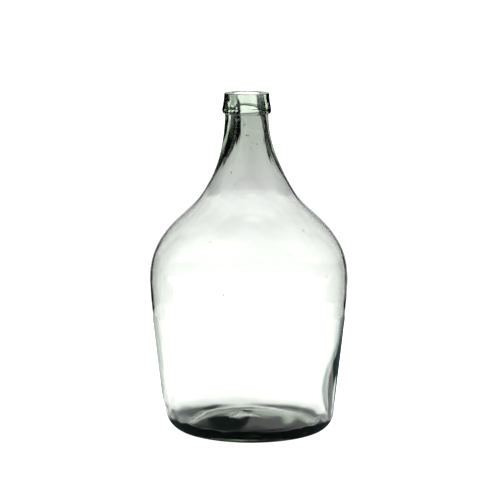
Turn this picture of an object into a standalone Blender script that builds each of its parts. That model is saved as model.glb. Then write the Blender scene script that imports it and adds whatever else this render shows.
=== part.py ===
"""Glass carboy: a blown demijohn and the ring of glass wound around its mouth.

Run with:  blender --background --python part.py
Metres, +Z up. The bottle stands on z = 0 and its axis is the Z axis.
"""

import math

import bpy
from mathutils import Vector
from mathutils.geometry import interpolate_bezier

# Overall sizes
TOTAL_HEIGHT = 0.426        # standing face to mouth face
BODY_DIAMETER = 0.250       # at the widest
WIDEST_HEIGHT = 0.1916      # height of the widest section
HEEL_DIAMETER = 0.2156      # where the wall turns into the heel
NECK_DIAMETER = 0.0540      # just below the lip ring
NECK_FOOT_DIAMETER = 0.1196  # where the neck's sweep runs into the shoulder
NECK_LENGTH = 0.1276        # from the mouth down to the neck's foot
NECK_FOOT_ANGLE = 33.7      # degrees from upright that the wall slopes there
BORE_DIAMETER = 0.032       # clear way through the mouth, for a bung

# Fullness of the curves, as the reach of each Bezier handle along the height between its ends
NECK_FULLNESS = 0.42
NECK_FOOT_FULLNESS = 0.29
SHOULDER_FULLNESS = 0.57
FLANK_FULLNESS = 0.19
HEEL_FULLNESS = 0.34
ROUND = 0.5523              # handle reach that makes a quarter circle or ellipse

# Heel, standing ring and punt
HEEL_HEIGHT = 0.021
HEEL_RUN = 0.022            # from the wall in to the standing ring
STANDING_RING_WIDTH = 0.010
PUNT_HEIGHT = 0.019         # underside of the kicked-up base, at the axis
PUNT_GLASS = 0.009          # glass at the axis, above the punt
FLOOR_GLASS = 0.0085        # glass over the standing ring
FLOOR_CORNER_RUN = 0.0235   # from the inner wall to the lowest line of the floor

# Wall thickness, thin in the body and thick at both ends
BODY_WALL = 0.003
HEEL_WALL = 0.0045
HEEL_WALL_TOP = 0.070       # height where the heel's extra glass has run out
NECK_WALL = 0.0092          # below the lip ring
THICK_NECK = 0.046          # down from the mouth, as far as the neck's glass is at its full thickness
NECK_THINNING = 0.060       # length over which it then thins to the body's wall

# Finish: the neck's end, stepped in for the lip ring
RING_HEIGHT = 0.0264
RING_SEAT = 0.0024          # width of the ledge that the ring sits on
RING_TOP_OVERHANG = 0.0015  # beyond the neck, at the ring's top
RING_LOW_OVERHANG = 0.0038  # beyond the neck, at the ring's widest
RING_LOW_HEIGHT = 0.006     # height of the ring's widest line above the ledge
GAP = 0.0003                # between the ring and the neck

MOUTH_INNER_EDGE = 0.0016   # fire-polished edges
MOUTH_OUTER_EDGE = 0.0008
RING_TOP_EDGE = 0.0016
RING_LOW_EDGE = 0.0030
RING_INNER_EDGE = 0.0004

SIDES = 64                  # facets around
NECK_STEPS = 8
SHOULDER_STEPS = 9
FLANK_STEPS = 8
HEEL_STEPS = 6
PUNT_STEPS = 8
EDGE_STEPS = 3

GLASS_COLOUR = (0.76, 0.86, 0.79, 1.0)
RING_COLOUR = (0.66, 0.78, 0.69, 1.0)
GLASS_ROUGHNESS = 0.03
GLASS_IOR = 1.52

MERGE = 0.00002


def point(radius, height):
    """A point of an outline, in the XZ plane."""
    return Vector((radius, 0.0, height))


def curve(start, start_handle, end_handle, end, steps):
    """Points of a Bezier curve, both ends included."""
    return interpolate_bezier(start, start_handle, end_handle, end, steps + 1)


def rounded(corners):
    """Outline through corners of (point, edge radius), each edge an arc where its radius isn't zero."""
    outline = []
    last = len(corners) - 1
    for index, (corner, radius) in enumerate(corners):
        if radius == 0.0 or index in (0, last):
            outline.append(corner)
            continue
        back = corners[index - 1][0] - corner
        ahead = corners[index + 1][0] - corner
        half_angle = back.angle(ahead) / 2.0
        reach = min(radius / math.tan(half_angle), back.length / 2.0, ahead.length / 2.0)
        start = corner + back.normalized() * reach
        end = corner + ahead.normalized() * reach
        outline += curve(start, start.lerp(corner, ROUND), end.lerp(corner, ROUND), end, EDGE_STEPS)
    return outline


def smooth(value, low, high):
    """0 below low, 1 above high, an even S between them."""
    share = min(max((value - low) / (high - low), 0.0), 1.0)
    return share * share * (3.0 - 2.0 * share)


def wall_at(height):
    """Thickness of the wall, square to its outer surface."""
    thick_from = TOTAL_HEIGHT - THICK_NECK
    neck_share = smooth(height, thick_from - NECK_THINNING, thick_from)
    heel_share = 1.0 - smooth(height, HEEL_HEIGHT, HEEL_WALL_TOP)
    return BODY_WALL + (NECK_WALL - BODY_WALL) * neck_share + (HEEL_WALL - BODY_WALL) * heel_share


def outer_wall():
    """Outer surface from the ledge under the ring down to the heel."""
    neck = point(NECK_DIAMETER / 2.0, TOTAL_HEIGHT - RING_HEIGHT)
    foot = point(NECK_FOOT_DIAMETER / 2.0, TOTAL_HEIGHT - NECK_LENGTH)
    widest = point(BODY_DIAMETER / 2.0, WIDEST_HEIGHT)
    heel = point(HEEL_DIAMETER / 2.0, HEEL_HEIGHT)
    lean = math.radians(NECK_FOOT_ANGLE)
    slope = point(math.sin(lean), -math.cos(lean)) * NECK_FOOT_FULLNESS
    sweep = neck.z - foot.z
    rise = foot.z - widest.z
    drop = widest.z - heel.z
    neck_handle = neck - point(0.0, NECK_FULLNESS * sweep)
    shoulder_handle = widest + point(0.0, SHOULDER_FULLNESS * rise)
    flank_handle = widest - point(0.0, FLANK_FULLNESS * drop)
    heel_handle = heel.lerp(widest, HEEL_FULLNESS)
    upper = curve(neck, neck_handle, foot - slope * sweep, foot, NECK_STEPS)
    middle = curve(foot, foot + slope * rise, shoulder_handle, widest, SHOULDER_STEPS)
    lower = curve(widest, flank_handle, heel_handle, heel, FLANK_STEPS)
    return upper + middle[1:] + lower[1:]


def inner_wall(outer):
    """Inner surface, the outer one moved in by the wall's thickness."""
    inner = []
    last = len(outer) - 1
    for index, place in enumerate(outer):
        along = outer[min(index + 1, last)] - outer[max(index - 1, 0)]
        along.normalize()
        inward = Vector((along.z, 0.0, -along.x))
        inner.append(place + inward * wall_at(place.z))
    inner[0] = point(BORE_DIAMETER / 2.0, outer[0].z)
    return inner


def domed(apex, edge):
    """A parabola from the axis down to its edge."""
    third = point((edge.x - apex.x) / 3.0, 0.0)
    fall = point(0.0, (apex.z - edge.z) / 3.0)
    return curve(apex, apex + third, apex + third * 2.0 - fall, edge, PUNT_STEPS)


def base_outline(outer):
    """Underside from the heel across the standing ring to the top of the punt."""
    heel = outer[-1]
    slope = (outer[-1] - outer[-2]).normalized()
    ring_out = point(heel.x - HEEL_RUN, 0.0)
    ring_in = point(ring_out.x - STANDING_RING_WIDTH, 0.0)
    apex = point(0.0, PUNT_HEIGHT)
    heel_handle = heel + slope * HEEL_HEIGHT * ROUND
    ring_handle = ring_out + point(HEEL_RUN * ROUND, 0.0)
    corner = curve(heel, heel_handle, ring_handle, ring_out, HEEL_STEPS)
    return corner[1:] + domed(apex, ring_in)[::-1]


def floor_outline(inner):
    """Inside of the base, from the top of the dome out to the inner wall."""
    wall = inner[-1]
    slope = (inner[-1] - inner[-2]).normalized()
    trough = point(wall.x - FLOOR_CORNER_RUN, FLOOR_GLASS)
    apex = point(0.0, PUNT_HEIGHT + PUNT_GLASS)
    trough_handle = trough + point(FLOOR_CORNER_RUN * ROUND, 0.0)
    wall_handle = wall + slope * (wall.z - FLOOR_GLASS) * ROUND
    corner = curve(trough, trough_handle, wall_handle, wall, HEEL_STEPS)
    return domed(apex, trough) + corner[1:-1]


def finish_radius():
    """Outer radius of the neck's end, inside the ring."""
    return NECK_DIAMETER / 2.0 - RING_SEAT


def vessel_outline():
    """Whole section of the bottle: floor, inner wall, mouth, outer wall, base."""
    outer = outer_wall()
    inner = inner_wall(outer)
    bore = BORE_DIAMETER / 2.0
    finish = finish_radius()
    mouth = rounded([
        (inner[0], 0.0),
        (point(bore, TOTAL_HEIGHT), MOUTH_INNER_EDGE),
        (point(finish, TOTAL_HEIGHT), MOUTH_OUTER_EDGE),
        (point(finish, outer[0].z), 0.0),
    ])
    return floor_outline(inner) + inner[:0:-1] + mouth + outer + base_outline(outer)


def ring_outline():
    """Section of the lip ring, a closed loop."""
    neck = NECK_DIAMETER / 2.0
    bottom = TOTAL_HEIGHT - RING_HEIGHT + GAP
    inside = finish_radius() + GAP
    loop = rounded([
        (point(inside, (bottom + TOTAL_HEIGHT) / 2.0), 0.0),
        (point(inside, TOTAL_HEIGHT), RING_INNER_EDGE),
        (point(neck + RING_TOP_OVERHANG, TOTAL_HEIGHT), RING_TOP_EDGE),
        (point(neck + RING_LOW_OVERHANG, bottom + RING_LOW_HEIGHT), 0.0),
        (point(neck + RING_LOW_OVERHANG, bottom), RING_LOW_EDGE),
        (point(inside, bottom), RING_INNER_EDGE),
        (point(inside, (bottom + TOTAL_HEIGHT) / 2.0), 0.0),
    ])
    return loop


def glass(name, colour):
    """A clear glass material."""
    material = bpy.data.materials.new(name)
    material.use_nodes = True
    shader = material.node_tree.nodes["Principled BSDF"]
    shader.inputs["Base Color"].default_value = colour
    shader.inputs["Metallic"].default_value = 0.0
    shader.inputs["Roughness"].default_value = GLASS_ROUGHNESS
    shader.inputs["IOR"].default_value = GLASS_IOR
    shader.inputs["Transmission Weight"].default_value = 1.0
    material.diffuse_color = colour
    return material


def spun(name, outline, material):
    """A piece turned about the Z axis from its outline, which runs down its outer side."""
    mesh = bpy.data.meshes.new(name)
    edges = [(index, index + 1) for index in range(len(outline) - 1)]
    mesh.from_pydata([tuple(place) for place in outline], edges, [])
    mesh.materials.append(material)
    piece = bpy.data.objects.new(name, mesh)
    bpy.context.scene.collection.objects.link(piece)
    screw = piece.modifiers.new("turn", "SCREW")
    screw.axis = "Z"
    screw.steps = SIDES
    screw.render_steps = SIDES
    screw.use_merge_vertices = True
    screw.merge_threshold = MERGE
    screw.use_smooth_shade = True
    return piece


def clear_scene():
    """Remove what a new Blender file starts with."""
    for item in list(bpy.data.objects):
        bpy.data.objects.remove(item, do_unlink=True)


def build():
    """Build the bottle and its lip ring under one empty."""
    clear_scene()
    carboy = bpy.data.objects.new("carboy", None)
    bpy.context.scene.collection.objects.link(carboy)
    pieces = [
        spun("vessel", vessel_outline(), glass("vessel_glass", GLASS_COLOUR)),
        spun("lip_ring", ring_outline(), glass("lip_ring_glass", RING_COLOUR)),
    ]
    for piece in pieces:
        piece.parent = carboy


build()
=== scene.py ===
"""Glass carboy: a hand-blown demijohn and the ring of glass wound around its mouth.

Lengths are in metres, +Z is up, and the bottle stands on z = 0 around the Z axis.
"""

import math

import bpy
from bpy.props import FloatProperty, FloatVectorProperty, IntProperty, PointerProperty
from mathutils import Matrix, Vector, kdtree, noise
from mathutils.geometry import interpolate_bezier


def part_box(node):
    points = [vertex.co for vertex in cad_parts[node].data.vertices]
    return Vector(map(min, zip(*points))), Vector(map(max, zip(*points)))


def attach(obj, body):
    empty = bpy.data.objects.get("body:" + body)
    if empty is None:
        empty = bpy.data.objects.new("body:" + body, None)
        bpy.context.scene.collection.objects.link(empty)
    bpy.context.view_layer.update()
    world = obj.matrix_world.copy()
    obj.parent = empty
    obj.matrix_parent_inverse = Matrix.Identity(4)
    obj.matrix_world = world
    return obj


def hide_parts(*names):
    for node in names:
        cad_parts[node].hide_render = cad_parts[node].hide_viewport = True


bl_info = {
    "name": "Glass carboy",
    "version": (1, 0, 0),
    "blender": (4, 5, 0),
    "location": "3D View > Sidebar > Carboy",
    "description": "Models a hand-blown glass carboy, its lip ring and a plain studio",
    "category": "Mesh",
}

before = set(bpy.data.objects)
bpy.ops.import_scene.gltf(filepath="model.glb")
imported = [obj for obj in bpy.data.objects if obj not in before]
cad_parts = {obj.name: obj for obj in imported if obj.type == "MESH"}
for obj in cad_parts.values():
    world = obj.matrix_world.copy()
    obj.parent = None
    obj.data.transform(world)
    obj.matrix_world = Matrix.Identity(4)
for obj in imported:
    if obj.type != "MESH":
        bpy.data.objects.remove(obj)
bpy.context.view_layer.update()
VESSEL_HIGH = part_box("vessel")[1]
RING_LOW, RING_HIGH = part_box("lip_ring")
ROUND = 0.5523              # handle reach that makes a quarter circle or ellipse
GLASS_IOR = 1.52
VESSEL_WAVES = 22.0         # soft surface waves in a metre
RING_WAVES = 60.0

# Fullness of the outer wall's curves, as the reach of each Bezier handle along the height between its ends
NECK_FULLNESS = 0.42
NECK_FOOT_FULLNESS = 0.29
SHOULDER_FULLNESS = 0.57
FLANK_FULLNESS = 0.19
HEEL_FULLNESS = 0.34

# How the wall thins: below the mouth in two steps (share, depth where it starts, depth where it ends),
# over the shoulder, and upwards from the heel
NECK_THINNING = ((0.88, 0.046, 0.106), (0.12, 0.081, 0.136))
SHOULDER_THIN_FROM = 0.19
SHOULDER_THIN_TO = 0.28
HEEL_WALL_TOP = 0.07
BORE_BLEND = 0.016          # depth over which the wall under the finish runs into the bore

# Marks of hand work
GRAIN = (2.2, 16.0)         # waves around the bottle and up it
ROUGHER_FROM = 0.31         # the neck is rougher than the body
ROUGHER_TO = 0.36
THICK_AT = 0.062            # the thick side: height, reach up and down
THICK_REACH = 0.034
STREAK = 0.0011             # upright streak of glass in it: depth, height, reach, degrees round, half width
STREAK_AT = 0.055
STREAK_REACH = 0.018
STREAK_TURN = 74.0
STREAK_WIDTH = 3.5
CORNER_RAGGED = 0.0020      # unevenness where the floor meets the wall: depth, radius, reach, heights
CORNER_RADIUS = 0.1
CORNER_REACH = 0.008
CORNER_TOP = (0.020, 0.040)
SWING_AT = 0.381            # where the bore stands furthest off the axis
SWING_REACH = 0.026
SLUMP_TOP = 0.055           # the slumped side of the heel reaches this high
SLUMP_RISE = 0.35           # and is lifted by this share of its shift
TRUE_MOUTH = 0.012          # depth below the mouth that stays evenly round ...
FREE_BELOW = 0.04           # ... and where the unevenness is full
DOME_REACH = 0.085          # radius of the dome in the base
BASE_TOP = 0.05             # what lies lower belongs to the base
HEEL_ZONE = (0.07, 0.1)     # radii between which the slump sets in
LEAN_SPAN = (0.75, 0.905)   # shares of the height between which the neck leans over
SEED_SHAPE = (0.9, 0.5, 1.6)  # across, through the wall and along, for a length of 1

# Lip ring, and what its winding left on it
RING_TOP_IN = 0.0006        # its flare starts this far inside the upper band's radius ...
RING_TOP_DOWN = 0.0014      # ... and this far below the top
RING_WIDEST_UP = 0.0042     # from the lower face up to the widest line
RING_TUCK = 0.0030          # how far the lower edge is rounded in
CREASE_UP = 0.0072          # fold line across the front: height, half width, depth
CREASE_REACH = 0.0006
CREASE_DEPTH = 0.00022
RING_RIPPLE = 0.00003
RING_GRAIN = 190.0

# Studio light, as radiance; angles in degrees, elevations above level
CAMERA_WHITE = 1.5          # backdrop, straight behind the bottle
FLOOR_SKY = 2.1             # even light for the floor
SURROUND = 0.004            # the dark room
BACK_TOP = 0.68             # backdrop seen through the neck ...
BACK_TOP_AT = -5.0
BACK_LOW = 1.55             # ... brightening down to the body
BACK_LOW_AT = -12.0
BACK_FADE = 7.0             # and fading away upwards, from here ...
BACK_END = 26.0             # ... to here
LEVEL_WHITE = 1.2           # windows at eye level
LEVEL_FROM = -5.2
LEVEL_TO = 2.0
LEVEL_FADE = -1.0           # full up to here
CORNER_FROM = -9.5          # window at the front right, full from CORNER_FULL down
CORNER_FULL = -11.0
STEEP_FROM = -16.0          # low window at the back left
STEEP_FULL = -19.0
WINDOW_EDGE = 16.0          # half width of a window
WINDOW_SOFT = 3.0           # and how soft its edge is
FLOOR_DARK_TO = 0.118       # radius around the bottle where its glass sees no light on the floor
FLOOR_LIT_FROM = 0.136
FLOOR_DARK_AHEAD = 0.019    # how far that unlit round stands towards the camera
STRIP_START = 0.8           # half width of a lit way at the bottle, as a share of its radius
STRIP_EDGE = 12.0           # half spread of a lit way on the floor
STRIP_SOFT = 3.0
SIDE_STRIP = 0.6            # strength of the lit ways: sides, front right and back left
CORNER_STRIP = 0.8
STEEP_STRIP = 0.3
FLOOR_CLEARANCE = 0.0002    # below the standing ring
PAPER_TONES = ((0.80, 0.80, 0.80, 1.0), (0.83, 0.83, 0.83, 1.0))
# painted shade: the paper's colour where the glass sees it unlit
UNLIT_PAPER = (0.045, 0.065, 0.065, 1.0)
PUNT_GLOW = 1.7             # painted glow: the floor emits light in a round under the base's dome, far side, standing in for light that gets in there
PUNT_GLOW_AT = (-0.008, 0.082)
PUNT_GLOW_REACH = 0.040     # where it has died away

# Seeds trapped in the wall: degrees around from the front towards +X, height, length,
# and degrees that the long axis is turned
SEEDS = (
    (22.0, 0.3645, 0.0016, 20.0),
    (6.0, 0.3590, 0.0013, 0.0),
    (9.0, 0.3660, 0.0012, 70.0),
    (-4.0, 0.3750, 0.0026, 85.0),
    (-10.0, 0.3890, 0.0014, 30.0),
    (-16.0, 0.3880, 0.0012, 0.0),
    (-32.0, 0.3300, 0.0018, 15.0),
    (-22.0, 0.3170, 0.0014, 0.0),
    (-62.0, 0.2120, 0.0019, 10.0),
    (-57.0, 0.2030, 0.0015, 0.0),
    (-27.0, 0.2520, 0.0013, 50.0),
    (51.0, 0.2060, 0.0016, 5.0),
    (-3.0, 0.1050, 0.0014, 0.0),
    (140.0, 0.2400, 0.0020, 30.0),
    (196.0, 0.1500, 0.0015, 0.0),
    (231.0, 0.3050, 0.0016, 60.0),
)


class VesselSizes(bpy.types.PropertyGroup):
    """Sizes of the blown bottle."""

    height: FloatProperty(
        name="Height", description="Standing ring to mouth", default=VESSEL_HIGH.z, unit="LENGTH")
    radius: FloatProperty(
        name="Radius", description="Outer radius at the widest", default=VESSEL_HIGH.x, unit="LENGTH")
    widest_at: FloatProperty(
        name="Widest at", description="Height of the widest section", default=0.1916, unit="LENGTH")
    heel_radius: FloatProperty(
        name="Heel radius", description="Outer radius where the wall turns into the heel",
        default=0.1078, unit="LENGTH")
    heel_height: FloatProperty(
        name="Heel height", description="Height of the heel's rounding", default=0.021, unit="LENGTH")
    heel_run: FloatProperty(
        name="Heel run", description="From the wall in to the standing ring", default=0.022, unit="LENGTH")
    standing_width: FloatProperty(
        name="Standing ring", description="Width of the flat that the bottle stands on",
        default=0.010, unit="LENGTH")
    neck_radius: FloatProperty(
        name="Neck radius", description="Outer radius just below the lip ring", default=0.0272, unit="LENGTH")
    foot_radius: FloatProperty(
        name="Neck foot radius", description="Outer radius where the neck's sweep runs into the shoulder",
        default=0.0598, unit="LENGTH")
    finish_height: FloatProperty(
        name="Finish height", description="From the mouth down to the lip ring's lower face",
        default=0.0264, unit="LENGTH")
    neck_length: FloatProperty(
        name="Neck length", description="From the mouth down to the neck's foot",
        default=0.1276, unit="LENGTH")
    foot_slope: FloatProperty(
        name="Neck foot slope", description="From upright, where the neck's sweep ends",
        default=math.radians(33.7), subtype="ANGLE")
    bore_radius: FloatProperty(
        name="Bore radius", description="Radius of the clear way through the mouth",
        default=0.0170, unit="LENGTH")
    body_wall: FloatProperty(
        name="Body wall", description="Thickness of the glass at the widest", default=0.0030, unit="LENGTH")
    shoulder_thinning: FloatProperty(
        name="Shoulder thinning", description="How much thinner than the body the upper shoulder is blown",
        default=0.0009, unit="LENGTH")
    neck_wall: FloatProperty(
        name="Neck wall", description="Thickness of the glass below the lip ring",
        default=0.0092, unit="LENGTH")
    heel_wall: FloatProperty(
        name="Heel wall", description="Thickness of the glass just above the heel",
        default=0.0032, unit="LENGTH")
    punt_height: FloatProperty(
        name="Punt height", description="Rise of the base's underside at the axis",
        default=0.0145, unit="LENGTH")
    punt_glass: FloatProperty(
        name="Punt glass", description="Thickness of the base at the axis", default=0.0075, unit="LENGTH")
    floor_glass: FloatProperty(
        name="Floor glass", description="Thickness of the base over the standing ring",
        default=0.0085, unit="LENGTH")
    floor_run: FloatProperty(
        name="Floor corner run", description="From the inner wall to the lowest line of the floor",
        default=0.0235, unit="LENGTH")
    neck_shift: FloatProperty(
        name="Bore shift", description="How far the neck's bore swings towards +X below the mouth",
        default=0.0029, unit="LENGTH")
    thick_side: FloatProperty(
        name="Thick side", description="Extra glass low in the wall at +X", default=0.0028, unit="LENGTH")
    waves: FloatProperty(
        name="Waves", description="Unevenness of the inner surface", default=0.00008, unit="LENGTH")
    punt_shift: FloatProperty(
        name="Punt shift", description="How far the top of the base's dome stands off the axis, towards -X",
        default=0.010, unit="LENGTH")
    slump: FloatProperty(
        name="Heel slump", description="How much more the heel is rounded away at -X",
        default=0.0045, unit="LENGTH")
    lean: FloatProperty(
        name="Lean", description="How far the mouth stands off the axis, towards -X",
        default=0.0026, unit="LENGTH")
    sides: IntProperty(
        name="Sides", description="Facets around the bottle", default=224, min=24)


class RingSizes(bpy.types.PropertyGroup):
    """Sizes of the ring of glass around the mouth."""

    low_radius: FloatProperty(
        name="Low radius", description="Radius of the ring's widest line", default=RING_HIGH.x, unit="LENGTH")
    bottom: FloatProperty(
        name="Bottom", description="Height of the ring's lower face", default=RING_LOW.z, unit="LENGTH")
    top: FloatProperty(
        name="Top", description="Height of the ring's top", default=RING_HIGH.z, unit="LENGTH")
    top_radius: FloatProperty(
        name="Top radius", description="Radius of the ring's upper band", default=0.0288, unit="LENGTH")
    contact: FloatProperty(
        name="Contact", description="How far the two fused glasses run into each other",
        default=0.00015, unit="LENGTH")


class GlassLook(bpy.types.PropertyGroup):
    """Colour and finish of the glass."""

    tint: FloatVectorProperty(
        name="Tint", description="Colour that thick glass tends to", subtype="COLOR", size=3,
        default=(0.66, 0.785, 0.62), min=0.0, max=1.0)
    density: FloatProperty(
        name="Tint strength", description="Absorption for each metre of glass", default=45.0)
    ring_density: FloatProperty(
        name="Ring tint strength", description="Absorption in the lip ring", default=42.0)
    ripple: FloatProperty(
        name="Ripple", description="Height of the soft waves in the wall", default=0.00018, unit="LENGTH")


class StageLook(bpy.types.PropertyGroup):
    """Studio around the bottle."""

    floor_radius: FloatProperty(
        name="Floor radius", description="Radius of the pale table top", default=0.75, unit="LENGTH")
    camera_distance: FloatProperty(
        name="Camera distance", description="From the axis, along -Y", default=3.364, unit="LENGTH")
    camera_height: FloatProperty(
        name="Camera height", description="Above the floor", default=0.7554, unit="LENGTH")
    camera_side: FloatProperty(
        name="Camera side step", description="Along X", default=0.0015, unit="LENGTH")
    camera_pitch: FloatProperty(
        name="Camera pitch", description="Down from level", default=math.radians(8.913), subtype="ANGLE")
    camera_lens: FloatProperty(
        name="Lens", description="Focal length for a 36 mm wide sensor, in mm", default=195.1)


# ---------------------------------------------------------------- outlines


def point(radius, height):
    """A point of an outline, in the XZ plane."""
    return Vector((radius, 0.0, height))


def curve(start, start_handle, end_handle, end, steps):
    """Points of a Bezier curve, both ends included."""
    return interpolate_bezier(start, start_handle, end_handle, end, steps + 1)


def rounded(corners, steps=5):
    """Outline through corners of (point, edge radius), each edge an arc where its radius isn't zero."""
    outline = []
    last = len(corners) - 1
    for index, (corner, radius) in enumerate(corners):
        if radius == 0.0 or index in (0, last):
            outline.append(corner)
            continue
        back = corners[index - 1][0] - corner
        ahead = corners[index + 1][0] - corner
        half_angle = back.angle(ahead) / 2.0
        reach = min(radius / math.tan(half_angle), back.length / 2.2, ahead.length / 2.2)
        start = corner + back.normalized() * reach
        end = corner + ahead.normalized() * reach
        outline += curve(start, start.lerp(corner, ROUND), end.lerp(corner, ROUND), end, steps)
    return outline


def smooth(value, low, high):
    """0 below low, 1 above high, an even S between them."""
    share = min(max((value - low) / (high - low), 0.0), 1.0)
    return share * share * (3.0 - 2.0 * share)


def wall_at(sizes, height):
    """Thickness of the blown wall, square to its outer surface."""
    neck_share = 0.0
    for share, start, end in NECK_THINNING:
        neck_share += share * smooth(height, sizes.height - end, sizes.height - start)
    heel_share = 1.0 - smooth(height, sizes.heel_height, HEEL_WALL_TOP)
    thin = sizes.body_wall
    thin -= sizes.shoulder_thinning * smooth(height, SHOULDER_THIN_FROM, SHOULDER_THIN_TO)
    return thin + (sizes.neck_wall - thin) * neck_share + (sizes.heel_wall - thin) * heel_share


def outer_wall(sizes):
    """Outer surface from below the lip ring down to the heel."""
    neck = point(sizes.neck_radius, sizes.height - sizes.finish_height)
    foot = point(sizes.foot_radius, sizes.height - sizes.neck_length)
    widest = point(sizes.radius, sizes.widest_at)
    heel = point(sizes.heel_radius, sizes.heel_height)
    slope = point(math.sin(sizes.foot_slope), -math.cos(sizes.foot_slope)) * NECK_FOOT_FULLNESS
    sweep = neck.z - foot.z
    rise = foot.z - widest.z
    drop = widest.z - heel.z
    upper = curve(neck, neck - point(0.0, NECK_FULLNESS * sweep), foot - slope * sweep, foot, 36)
    middle = curve(foot, foot + slope * rise, widest + point(0.0, SHOULDER_FULLNESS * rise), widest, 44)
    lower = curve(
        widest, widest - point(0.0, FLANK_FULLNESS * drop), heel.lerp(widest, HEEL_FULLNESS), heel, 60)
    return upper + middle[1:] + lower[1:]


def inner_wall(sizes, outer):
    """Inner surface, the outer one moved in by the wall's thickness."""
    inner = []
    last = len(outer) - 1
    for index, place in enumerate(outer):
        along = outer[min(index + 1, last)] - outer[max(index - 1, 0)]
        along.normalize()
        inward = Vector((along.z, 0.0, -along.x))
        bore_share = smooth(place.z, outer[0].z - BORE_BLEND, outer[0].z)
        wall = wall_at(sizes, place.z)
        inner.append(place + inward * (wall + (place.x - sizes.bore_radius - wall) * bore_share))
    return inner


def base_outline(sizes, outer):
    """Underside from the heel across the standing ring to the top of the punt."""
    heel = outer[-1]
    slope = (outer[-1] - outer[-2]).normalized()
    ring_out = point(heel.x - sizes.heel_run, 0.0)
    ring_in = point(ring_out.x - sizes.standing_width, 0.0)
    apex = point(0.0, sizes.punt_height)
    corner = curve(heel, heel + slope * sizes.heel_height * ROUND,
                   ring_out + point(sizes.heel_run * ROUND, 0.0), ring_out, 22)
    return corner[1:] + domed(apex, ring_in)[::-1]


def domed(apex, edge):
    """A parabola from the axis down to its edge."""
    third = point((edge.x - apex.x) / 3.0, 0.0)
    fall = point(0.0, (apex.z - edge.z) / 3.0)
    return curve(apex, apex + third, apex + third * 2.0 - fall, edge, 30)


def floor_outline(sizes, inner):
    """Inside of the base, from the top of the dome out to the inner wall."""
    wall = inner[-1]
    slope = (inner[-1] - inner[-2]).normalized()
    trough = point(wall.x - sizes.floor_run, sizes.floor_glass)
    apex = point(0.0, sizes.punt_height + sizes.punt_glass)
    corner = curve(trough, trough + point(sizes.floor_run * ROUND, 0.0),
                   wall + slope * (wall.z - sizes.floor_glass) * ROUND, wall, 20)
    return domed(apex, trough) + corner[1:-1]


# ---------------------------------------------------------------- modelling by hand


def add_object(name):
    """A single vertex in a new object, in edit mode, ready to be drawn out."""
    bpy.ops.object.select_all(action="DESELECT")
    bpy.ops.mesh.primitive_plane_add(size=0.001, location=(0.0, 0.0, 0.0))
    piece = bpy.context.object
    piece.name = name
    piece.data.name = name
    bpy.ops.object.mode_set(mode="EDIT")
    bpy.ops.mesh.select_all(action="SELECT")
    bpy.ops.mesh.merge(type="CENTER")
    return piece


def draw_outline(outline):
    """Moves the single vertex to the outline's start and extrudes it along the rest."""
    bpy.ops.transform.translate(value=outline[0])
    for start, end in zip(outline, outline[1:]):
        bpy.ops.mesh.extrude_region_move(TRANSFORM_OT_translate={"value": end - start})


def spin_round(sides):
    """Spins the drawn outline once about the Z axis and closes its seam and poles."""
    bpy.ops.mesh.select_all(action="SELECT")
    bpy.ops.mesh.spin(steps=sides, angle=math.tau, center=(0.0, 0.0, 0.0), axis=(0.0, 0.0, 1.0))
    bpy.ops.mesh.select_all(action="SELECT")
    bpy.ops.mesh.remove_doubles(threshold=0.00001)
    bpy.ops.mesh.normals_make_consistent(inside=False)
    bpy.ops.object.mode_set(mode="OBJECT")


def bell(value, middle, reach):
    """1 at the middle, falling evenly to nothing at about twice the reach."""
    return math.exp(-((value - middle) / reach) ** 2)


def inner_shift(sizes, place):
    """How far the glass's inner surface stands in from an evenly turned one."""
    around = math.atan2(place.x, -place.y)
    grain = Vector((GRAIN[0] * math.sin(around), -GRAIN[0] * math.cos(around), place.z * GRAIN[1]))
    rough = sizes.waves * (1.0 + 1.5 * smooth(place.z, ROUGHER_FROM, ROUGHER_TO))
    uneven = rough * noise.noise(grain * 1.6) + 0.4 * rough * noise.noise(grain * 4.5)
    low = bell(place.z, THICK_AT, THICK_REACH)
    side = max(0.0, math.sin(around)) ** 6
    streak = STREAK * bell(place.z, STREAK_AT, STREAK_REACH)
    streak *= bell(around, math.radians(STREAK_TURN), math.radians(STREAK_WIDTH))
    thick = sizes.thick_side * side * low + streak
    corner = bell(math.hypot(place.x, place.y), CORNER_RADIUS, CORNER_REACH)
    corner *= 1.0 - smooth(place.z, *CORNER_TOP)
    ragged = CORNER_RAGGED * corner * noise.noise(grain * 2.7)
    return uneven + thick + ragged


def bore_swing(sizes, place):
    """Sideways shift of the neck's inner surface."""
    return sizes.neck_shift * bell(place.z, SWING_AT, SWING_REACH)


def heel_slump(sizes, place):
    """Extra rounding of the heel towards -X, as a shift towards the axis and up."""
    side = max(0.0, -place.x / sizes.radius)
    share = side * (1.0 - smooth(place.z, 0.0, SLUMP_TOP))
    return sizes.slump * share


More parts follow.
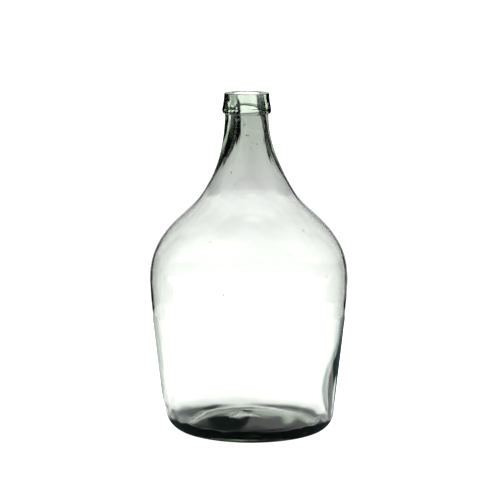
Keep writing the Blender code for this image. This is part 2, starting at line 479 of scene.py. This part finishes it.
def hand_blow(piece, outline, inner_count, sizes):
    """Moves the turned surface's vertices to the uneven places of hand-blown glass."""
    tree = kdtree.KDTree(len(outline))
    for index, place in enumerate(outline):
        tree.insert(place, index)
    tree.balance()
    last = len(outline) - 1
    for vertex in piece.data.vertices:
        place = vertex.co
        radius = math.hypot(place.x, place.y)
        if radius > 0.0001:
            outward = Vector((place.x / radius, place.y / radius, 0.0))
        else:
            outward = Vector((1.0, 0.0, 0.0))
        index = tree.find(Vector((radius, 0.0, place.z)))[1]
        moved = Vector((lean_over(sizes, place), 0.0, 0.0))
        if index < inner_count:
            along = (outline[min(index + 1, last)] - outline[max(index - 1, 0)]).normalized()
            inward = outward * -along.z + Vector((0.0, 0.0, along.x))
            depth = sizes.height - place.z
            moved += inward * inner_shift(sizes, place) * smooth(depth, TRUE_MOUTH, FREE_BELOW)
            moved.x += bore_swing(sizes, place)
        if place.z < BASE_TOP:
            moved.x -= sizes.punt_shift * (1.0 - smooth(radius, 0.0, DOME_REACH))
        slump = heel_slump(sizes, place) * smooth(radius, *HEEL_ZONE)
        moved += outward * -slump + Vector((0.0, 0.0, SLUMP_RISE * slump))
        vertex.co += moved


def trap_seeds(sizes, outer):
    """Adds small flattened bubbles inside the wall, their faces towards the trapped air."""
    for degrees, height, length, turn in SEEDS:
        around = math.radians(degrees)
        nearest = min(outer, key=lambda place: abs(place.z - height))
        depth = nearest.x - 0.5 * wall_at(sizes, height)
        centre = (depth * math.sin(around), -depth * math.cos(around), height)
        bpy.ops.mesh.select_all(action="DESELECT")
        bpy.ops.mesh.primitive_uv_sphere_add(segments=16, ring_count=10, radius=0.5, location=centre)
        bpy.ops.transform.resize(
            value=[share * length for share in SEED_SHAPE], center_override=centre)
        bpy.ops.transform.rotate(value=math.radians(turn), orient_axis="Y", center_override=centre)
        bpy.ops.transform.rotate(value=-around, orient_axis="Z", center_override=centre)
        bpy.ops.mesh.flip_normals()


def lean_over(sizes, place):
    """Sideways shift of the hand-drawn neck at a height."""
    return -sizes.lean * smooth(place.z, LEAN_SPAN[0] * sizes.height, LEAN_SPAN[1] * sizes.height)


def finish_piece(piece, material, slot, *nodes):
    """Smooths a piece, gives it its material, and ties it to the frame."""
    bpy.ops.object.select_all(action="DESELECT")
    piece.select_set(True)
    bpy.context.view_layer.objects.active = piece
    bpy.ops.object.shade_smooth_by_angle(angle=math.radians(40.0))
    piece.data.materials.clear()
    piece.data.materials.append(material)
    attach(piece, "root")
    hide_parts(*nodes)


# ---------------------------------------------------------------- materials


def node(tree, kind, **values):
    """Adds a node and sets its attributes."""
    made = tree.nodes.new(kind)
    for key, value in values.items():
        setattr(made, key, value)
    return made


def blown_surface_group():
    """Soft waves and faint film of blown glass, from Object coordinates."""
    group = bpy.data.node_groups.new("blown_surface", "ShaderNodeTree")
    face = group.interface
    face.new_socket("Vector", in_out="INPUT", socket_type="NodeSocketVector")
    face.new_socket("Wave size", in_out="INPUT", socket_type="NodeSocketFloat").default_value = 30.0
    face.new_socket("Film low", in_out="INPUT", socket_type="NodeSocketFloat").default_value = 0.0
    face.new_socket("Film high", in_out="INPUT", socket_type="NodeSocketFloat").default_value = 0.03
    face.new_socket("Height", in_out="OUTPUT", socket_type="NodeSocketFloat")
    face.new_socket("Film", in_out="OUTPUT", socket_type="NodeSocketFloat")
    face.new_socket("Tint", in_out="OUTPUT", socket_type="NodeSocketColor")
    start = node(group, "NodeGroupInput")
    end = node(group, "NodeGroupOutput")
    stretch = node(group, "ShaderNodeMapping")
    stretch.inputs["Scale"].default_value = (1.0, 1.0, 0.35)
    waves = node(group, "ShaderNodeTexNoise")
    waves.inputs["Detail"].default_value = 1.5
    waves.inputs["Roughness"].default_value = 0.4
    film = node(group, "ShaderNodeTexNoise")
    film.inputs["Scale"].default_value = 14.0
    film.inputs["Detail"].default_value = 6.0
    spread = node(group, "ShaderNodeMapRange")
    spread.inputs["From Min"].default_value = 0.45
    spread.inputs["From Max"].default_value = 0.8
    hue = node(group, "ShaderNodeMix", data_type="RGBA")
    hue.inputs["A"].default_value = (1.0, 1.0, 1.0, 1.0)
    hue.inputs["B"].default_value = (0.985, 0.988, 0.986, 1.0)
    link = group.links.new
    link(start.outputs["Vector"], stretch.inputs["Vector"])
    link(stretch.outputs["Vector"], waves.inputs["Vector"])
    link(start.outputs["Wave size"], waves.inputs["Scale"])
    link(start.outputs["Vector"], film.inputs["Vector"])
    link(film.outputs["Fac"], spread.inputs["Value"])
    link(start.outputs["Film low"], spread.inputs["To Min"])
    link(start.outputs["Film high"], spread.inputs["To Max"])
    link(film.outputs["Fac"], hue.inputs["Factor"])
    link(waves.outputs["Fac"], end.inputs["Height"])
    link(spread.outputs["Result"], end.inputs["Film"])
    link(hue.outputs["Result"], end.inputs["Tint"])
    return group


def glass_material(name, group, tint, density, wave_size, wave_height):
    """Clear glass whose colour comes from its thickness."""
    material = bpy.data.materials.new(name)
    material.use_nodes = True
    tree = material.node_tree
    shader = tree.nodes["Principled BSDF"]
    shader.inputs["Metallic"].default_value = 0.0
    shader.inputs["IOR"].default_value = GLASS_IOR
    shader.inputs["Transmission Weight"].default_value = 1.0
    place = node(tree, "ShaderNodeTexCoord")
    surface = node(tree, "ShaderNodeGroup", node_tree=group)
    surface.inputs["Wave size"].default_value = wave_size
    bump = node(tree, "ShaderNodeBump")
    bump.inputs["Distance"].default_value = wave_height
    bump.inputs["Strength"].default_value = 1.0
    inside = node(tree, "ShaderNodeVolumeAbsorption")
    inside.inputs["Color"].default_value = (*tint, 1.0)
    inside.inputs["Density"].default_value = density
    link = tree.links.new
    link(place.outputs["Object"], surface.inputs["Vector"])
    link(surface.outputs["Height"], bump.inputs["Height"])
    link(bump.outputs["Normal"], shader.inputs["Normal"])
    link(surface.outputs["Film"], shader.inputs["Roughness"])
    link(surface.outputs["Tint"], shader.inputs["Base Color"])
    link(inside.outputs["Volume"], tree.nodes["Material Output"].inputs["Volume"])
    return material


# ---------------------------------------------------------------- operators


class CARBOY_OT_stage(bpy.types.Operator):
    """Floor, light and camera"""

    bl_idname = "carboy.stage"
    bl_label = "Studio"

    def execute(self, context):
        look = context.scene.carboy_stage
        bpy.ops.object.select_all(action="DESELECT")
        bpy.ops.mesh.primitive_circle_add(
            vertices=128, radius=look.floor_radius, fill_type="NGON",
            location=(0.0, 0.0, -FLOOR_CLEARANCE))
        floor = context.object
        floor.name = "studio_floor"
        windows = self.windows_group()
        floor.data.materials.append(self.floor_material())
        self.build_world(context, windows)
        self.add_camera(context, look)
        return {"FINISHED"}

    def floor_material(self):
        """Matt paper, white to the eye; for the glass its colour holds painted light in the ways under the
        windows and painted shade elsewhere, darkest in the round around the bottle.
        """
        material = bpy.data.materials.new("studio_paper")
        material.use_nodes = True
        tree = material.node_tree
        link = tree.links.new
        shader = tree.nodes["Principled BSDF"]
        shader.inputs["Roughness"].default_value = 0.9
        shader.inputs["Specular IOR Level"].default_value = 0.0
        shader.inputs["Emission Color"].default_value = (1.0, 1.0, 1.0, 1.0)
        place = node(tree, "ShaderNodeTexCoord")
        grain = node(tree, "ShaderNodeTexNoise")
        grain.inputs["Scale"].default_value = 900.0
        tone = node(tree, "ShaderNodeMix", data_type="RGBA")
        tone.inputs["A"].default_value, tone.inputs["B"].default_value = PAPER_TONES
        link(place.outputs["Object"], grain.inputs["Vector"])
        link(grain.outputs["Fac"], tone.inputs["Factor"])
        away = node(tree, "ShaderNodeVectorMath", operation="DISTANCE")
        away.inputs[1].default_value = (0.0, -FLOOR_DARK_AHEAD, 0.0)
        link(place.outputs["Object"], away.inputs[0])
        lit = node(tree, "ShaderNodeMapRange", interpolation_type="SMOOTHSTEP")
        lit.inputs["From Min"].default_value = FLOOR_DARK_TO
        lit.inputs["From Max"].default_value = FLOOR_LIT_FROM
        link(away.outputs["Value"], lit.inputs["Value"])
        beam = self.strip(tree, place.outputs["Object"], 0.0)
        for turn, strength in ((90.0, SIDE_STRIP), (-90.0, SIDE_STRIP),
                               (135.0, CORNER_STRIP), (-45.0, STEEP_STRIP)):
            side = self.strip(tree, place.outputs["Object"], turn)
            beam = self.pair(tree, "MAXIMUM", beam, self.pair(tree, "MULTIPLY", side, strength))
        beam = self.pair(tree, "MULTIPLY", beam, lit.outputs["Result"])
        rays = node(tree, "ShaderNodeLightPath")
        # painted glow: emission strength of the paper rises in a small round under the base's dome
        near = node(tree, "ShaderNodeVectorMath", operation="DISTANCE")
        near.inputs[1].default_value = (*PUNT_GLOW_AT, 0.0)
        link(place.outputs["Object"], near.inputs[0])
        under = node(tree, "ShaderNodeMapRange", interpolation_type="SMOOTHSTEP")
        under.inputs["From Min"].default_value = PUNT_GLOW_REACH
        under.inputs["From Max"].default_value = 0.0
        under.inputs["To Max"].default_value = PUNT_GLOW
        link(near.outputs["Value"], under.inputs["Value"])
        # the paper emits white to the eye, plus the painted glow under the dome
        shine = self.pair(tree, "MAXIMUM", rays.outputs["Is Camera Ray"], under.outputs["Result"])
        # painted light and shade in the floor's colour: the glass sees the paper's tone only in the lit ways,
        # UNLIT_PAPER elsewhere
        eye = self.pair(tree, "MAXIMUM", rays.outputs["Is Camera Ray"], beam)
        paper = node(tree, "ShaderNodeMix", data_type="RGBA")
        paper.inputs["A"].default_value = UNLIT_PAPER
        link(eye, paper.inputs["Factor"])
        link(tone.outputs["Result"], paper.inputs["B"])
        link(paper.outputs["Result"], shader.inputs["Base Color"])
        link(shine, shader.inputs["Emission Strength"])
        return material

    def strip(self, tree, place, turn):
        """Lit way on the floor, opening out from the bottle's width towards one heading."""
        turned = node(tree, "ShaderNodeVectorRotate", rotation_type="Z_AXIS")
        turned.inputs["Angle"].default_value = math.radians(turn)
        parts = node(tree, "ShaderNodeSeparateXYZ")
        tree.links.new(place, turned.inputs["Vector"])
        tree.links.new(turned.outputs["Vector"], parts.inputs["Vector"])
        across = self.pair(tree, "ABSOLUTE", parts.outputs["X"], 0.0)
        beyond = self.pair(tree, "SUBTRACT", across, VESSEL_HIGH.x * STRIP_START)
        along = self.pair(tree, "MAXIMUM", parts.outputs["Y"], 0.001)
        slope = self.pair(tree, "DIVIDE", beyond, along)
        mask = node(tree, "ShaderNodeMapRange", interpolation_type="SMOOTHSTEP")
        mask.inputs["From Min"].default_value = math.tan(math.radians(STRIP_EDGE + STRIP_SOFT))
        mask.inputs["From Max"].default_value = math.tan(math.radians(STRIP_EDGE - STRIP_SOFT))
        tree.links.new(slope, mask.inputs["Value"])
        ahead = self.pair(tree, "GREATER_THAN", parts.outputs["Y"], 0.0)
        return self.pair(tree, "MULTIPLY", mask.outputs["Result"], ahead)

    def build_world(self, context, windows):
        """White for the camera, an even sky for the floor, and windows in a dark room for the glass."""
        world = bpy.data.worlds.new("studio")
        context.scene.world = world
        world.use_nodes = True
        tree = world.node_tree
        link = tree.links.new
        back = tree.nodes["Background"]
        coords = node(tree, "ShaderNodeTexCoord")
        parts = node(tree, "ShaderNodeSeparateXYZ")
        around = node(tree, "ShaderNodeGroup", node_tree=windows)
        link(coords.outputs["Generated"], parts.inputs["Vector"])
        link(coords.outputs["Generated"], around.inputs["Vector"])
        height = parts.outputs["Z"]
        glow = self.ramp(tree, height, BACK_TOP_AT, BACK_LOW_AT, BACK_TOP, BACK_LOW)
        glow = self.pair(tree, "MULTIPLY", glow, self.ramp(tree, height, BACK_END, BACK_FADE))
        behind = self.pair(tree, "MULTIPLY", around.outputs["Behind"], glow)
        level = self.pair(tree, "MULTIPLY", self.ramp(tree, height, LEVEL_FROM - 0.3, LEVEL_FROM),
                          self.ramp(tree, height, LEVEL_TO, LEVEL_FADE, 0.0, LEVEL_WHITE))
        sides = self.pair(tree, "MULTIPLY", around.outputs["Sides"], level)
        corner = self.pair(tree, "MULTIPLY", around.outputs["Corner"],
                           self.ramp(tree, height, CORNER_FROM, CORNER_FULL, 0.0, CAMERA_WHITE))
        steep = self.pair(tree, "MULTIPLY", around.outputs["Steep"],
                          self.ramp(tree, height, STEEP_FROM, STEEP_FULL, 0.0, CAMERA_WHITE))
        corner = self.pair(tree, "MAXIMUM", corner, steep)
        total = self.pair(tree, "MAXIMUM", behind, self.pair(tree, "MAXIMUM", sides, corner))
        total = self.pair(tree, "MAXIMUM", total, SURROUND)
        rays = node(tree, "ShaderNodeLightPath")
        for_floor = node(tree, "ShaderNodeMix", data_type="FLOAT")
        for_floor.inputs["B"].default_value = FLOOR_SKY
        for_eye = node(tree, "ShaderNodeMix", data_type="FLOAT")
        for_eye.inputs["B"].default_value = CAMERA_WHITE
        link(rays.outputs["Is Diffuse Ray"], for_floor.inputs["Factor"])
        link(total, for_floor.inputs["A"])
        link(rays.outputs["Is Camera Ray"], for_eye.inputs["Factor"])
        link(for_floor.outputs["Result"], for_eye.inputs["A"])
        link(for_eye.outputs["Result"], back.inputs["Strength"])
        back.inputs["Color"].default_value = (1.0, 1.0, 1.0, 1.0)

    def windows_group(self):
        """Masks of the upright windows around the bottle, from a vector's heading."""
        group = bpy.data.node_groups.new("studio_windows", "ShaderNodeTree")
        group.interface.new_socket("Vector", in_out="INPUT", socket_type="NodeSocketVector")
        for name in ("Behind", "Sides", "Corner", "Steep"):
            group.interface.new_socket(name, in_out="OUTPUT", socket_type="NodeSocketFloat")
        start = node(group, "NodeGroupInput")
        end = node(group, "NodeGroupOutput")
        flat = node(group, "ShaderNodeVectorMath", operation="MULTIPLY")
        flat.inputs[1].default_value = (1.0, 1.0, 0.0)
        level = node(group, "ShaderNodeVectorMath", operation="NORMALIZE")
        group.links.new(start.outputs["Vector"], flat.inputs[0])
        group.links.new(flat.outputs["Vector"], level.inputs[0])
        headings = {"Behind": (0.0,), "Sides": (90.0, -90.0), "Corner": (135.0,), "Steep": (-45.0,)}
        for name, turns in headings.items():
            masks = [self.facing(group, level.outputs["Vector"], math.radians(turn)) for turn in turns]
            mask = masks[0]
            for other in masks[1:]:
                mask = self.pair(group, "MAXIMUM", mask, other)
            group.links.new(mask, end.inputs[name])
        return group

    def pair(self, tree, operation, first, second):
        """Two values, or a value and a number, put through one step of arithmetic."""
        step = node(tree, "ShaderNodeMath", operation=operation)
        tree.links.new(first, step.inputs[0])
        if isinstance(second, float):
            step.inputs[1].default_value = second
        else:
            tree.links.new(second, step.inputs[1])
        return step.outputs["Value"]

    def facing(self, tree, heading, turn):
        """Mask of an upright window, turned from straight behind towards +X."""
        along = node(tree, "ShaderNodeVectorMath", operation="DOT_PRODUCT")
        along.inputs[1].default_value = (math.sin(turn), math.cos(turn), 0.0)
        window = node(tree, "ShaderNodeMapRange", interpolation_type="SMOOTHSTEP")
        window.inputs["From Min"].default_value = math.cos(math.radians(WINDOW_EDGE + WINDOW_SOFT))
        window.inputs["From Max"].default_value = math.cos(math.radians(WINDOW_EDGE - WINDOW_SOFT))
        tree.links.new(heading, along.inputs[0])
        tree.links.new(along.outputs["Value"], window.inputs["Value"])
        return window.outputs["Result"]

    def ramp(self, tree, height, start, end, low=0.0, high=1.0):
        """A value that goes from low to high between two elevations in degrees."""
        made = node(tree, "ShaderNodeMapRange", interpolation_type="SMOOTHSTEP")
        made.inputs["From Min"].default_value = math.sin(math.radians(start))
        made.inputs["From Max"].default_value = math.sin(math.radians(end))
        made.inputs["To Min"].default_value = low
        made.inputs["To Max"].default_value = high
        tree.links.new(height, made.inputs["Value"])
        return made.outputs["Result"]

    def add_camera(self, context, look):
        """Long lens, a little above the mouth."""
        bpy.ops.object.camera_add(
            location=(look.camera_side, -look.camera_distance, look.camera_height),
            rotation=(math.pi / 2.0 - look.camera_pitch, 0.0, 0.0))
        camera = context.object
        camera.name = "studio_camera"
        camera.data.lens = look.camera_lens
        camera.data.sensor_width = 36.0
        camera.data.clip_end = 50.0
        context.scene.camera = camera
        context.scene.view_settings.view_transform = "Standard"


class CARBOY_OT_vessel(bpy.types.Operator):
    """Blown bottle: neck, shoulder, wall, heel and punt"""

    bl_idname = "carboy.vessel"
    bl_label = "Vessel"

    def execute(self, context):
        sizes = context.scene.carboy_vessel
        outer = outer_wall(sizes)
        inner = inner_wall(sizes, outer)
        mouth = rounded([
            (inner[0], 0.0),
            (point(inner[0].x, sizes.height), 0.0018),
            (point(sizes.neck_radius, sizes.height), 0.0003),
            (outer[0], 0.0),
        ])
        inside = floor_outline(sizes, inner) + inner[:0:-1] + mouth[:1]
        outline = inside + mouth[1:-1] + outer + base_outline(sizes, outer)
        piece = add_object("vessel_glass")
        draw_outline(outline)
        spin_round(sizes.sides)
        hand_blow(piece, outline, len(inside), sizes)
        bpy.ops.object.mode_set(mode="EDIT")
        trap_seeds(sizes, outer)
        bpy.ops.object.mode_set(mode="OBJECT")
        look = context.scene.carboy_glass
        group = bpy.data.node_groups.get("blown_surface") or blown_surface_group()
        material = glass_material("vessel_glass", group, look.tint, look.density, VESSEL_WAVES, look.ripple)
        finish_piece(piece, material, "vessel_glass", "vessel")
        return {"FINISHED"}


class CARBOY_OT_lip_ring(bpy.types.Operator):
    """Ring of glass wound around the mouth"""

    bl_idname = "carboy.lip_ring"
    bl_label = "Lip ring"

    def execute(self, context):
        sizes = context.scene.carboy_vessel
        ring = context.scene.carboy_ring
        inside = sizes.neck_radius - ring.contact
        top = point(ring.top_radius - RING_TOP_IN, ring.top - RING_TOP_DOWN)
        widest = point(ring.low_radius, ring.bottom + RING_WIDEST_UP)
        foot = point(ring.low_radius - RING_TUCK, ring.bottom)
        flare = curve(top, top + point(0.0004, -0.0110), widest + point(-0.0001, 0.0040), widest, 24)
        under = curve(widest, widest - point(0.0, 0.0024), foot + point(0.0017, 0.0), foot, 10)
        lip = rounded([
            (point(inside, ring.bottom), 0.0),
            (point(inside, ring.top), 0.0001),
            (point(top.x, ring.top), 0.0013),
            (top, 0.0),
        ])
        outline = lip[:-1] + flare + under[1:] + [point(inside, ring.bottom)]
        piece = add_object("lip_ring_glass")
        draw_outline(outline)
        spin_round(sizes.sides)
        for vertex in piece.data.vertices:
            vertex.co += self.overlap(ring, vertex.co)
            vertex.co.x += lean_over(sizes, vertex.co)
        look = context.scene.carboy_glass
        group = bpy.data.node_groups.get("blown_surface") or blown_surface_group()
        material = glass_material(
            "lip_ring_glass", group, look.tint, look.ring_density, RING_WAVES, look.ripple)
        finish_piece(piece, material, "lip_ring_glass", "lip_ring")
        return {"FINISHED"}

    def overlap(self, ring, place):
        """Waves and a crease that the wound thread of glass leaves on the ring's outside."""
        radius = math.hypot(place.x, place.y)
        outside = smooth(radius, ring.top_radius - 0.0014, ring.top_radius - 0.0004)
        around = math.atan2(place.x, -place.y)
        crease = max(0.0, math.cos(around)) * bell(place.z, ring.bottom + CREASE_UP, CREASE_REACH)
        ripple = noise.noise(place * RING_GRAIN)
        swell = outside * (RING_RIPPLE * ripple - CREASE_DEPTH * crease)
        return Vector((place.x / radius, place.y / radius, 0.0)) * swell


class CARBOY_PT_pieces(bpy.types.Panel):
    """Sidebar list of the pieces"""

    bl_idname = "CARBOY_PT_pieces"
    bl_label = "Glass carboy"
    bl_space_type = "VIEW_3D"
    bl_region_type = "UI"
    bl_category = "Carboy"

    def draw(self, context):
        for operator in OPERATORS:
            self.layout.operator(operator.bl_idname)


GROUPS = {
    "carboy_vessel": VesselSizes,
    "carboy_ring": RingSizes,
    "carboy_glass": GlassLook,
    "carboy_stage": StageLook,
}
OPERATORS = (CARBOY_OT_stage, CARBOY_OT_vessel, CARBOY_OT_lip_ring)


def register():
    """Registers the classes and the settings on the scene."""
    for name, group in GROUPS.items():
        bpy.utils.register_class(group)
        setattr(bpy.types.Scene, name, PointerProperty(type=group))
    for item in (*OPERATORS, CARBOY_PT_pieces):
        bpy.utils.register_class(item)


def unregister():
    """Takes the classes and settings away again."""
    for item in reversed((*OPERATORS, CARBOY_PT_pieces)):
        bpy.utils.unregister_class(item)
    for name, group in GROUPS.items():
        delattr(bpy.types.Scene, name)
        bpy.utils.unregister_class(group)


def corners(box):
    """A box as plain lists of numbers."""
    return [[float(value) for value in corner] for corner in box]


def main():
    """Builds everything in order."""
    register()
    bpy.ops.carboy.stage()
    bpy.ops.carboy.vessel()
    bpy.ops.carboy.lip_ring()


if __name__ == "__main__":
    main()
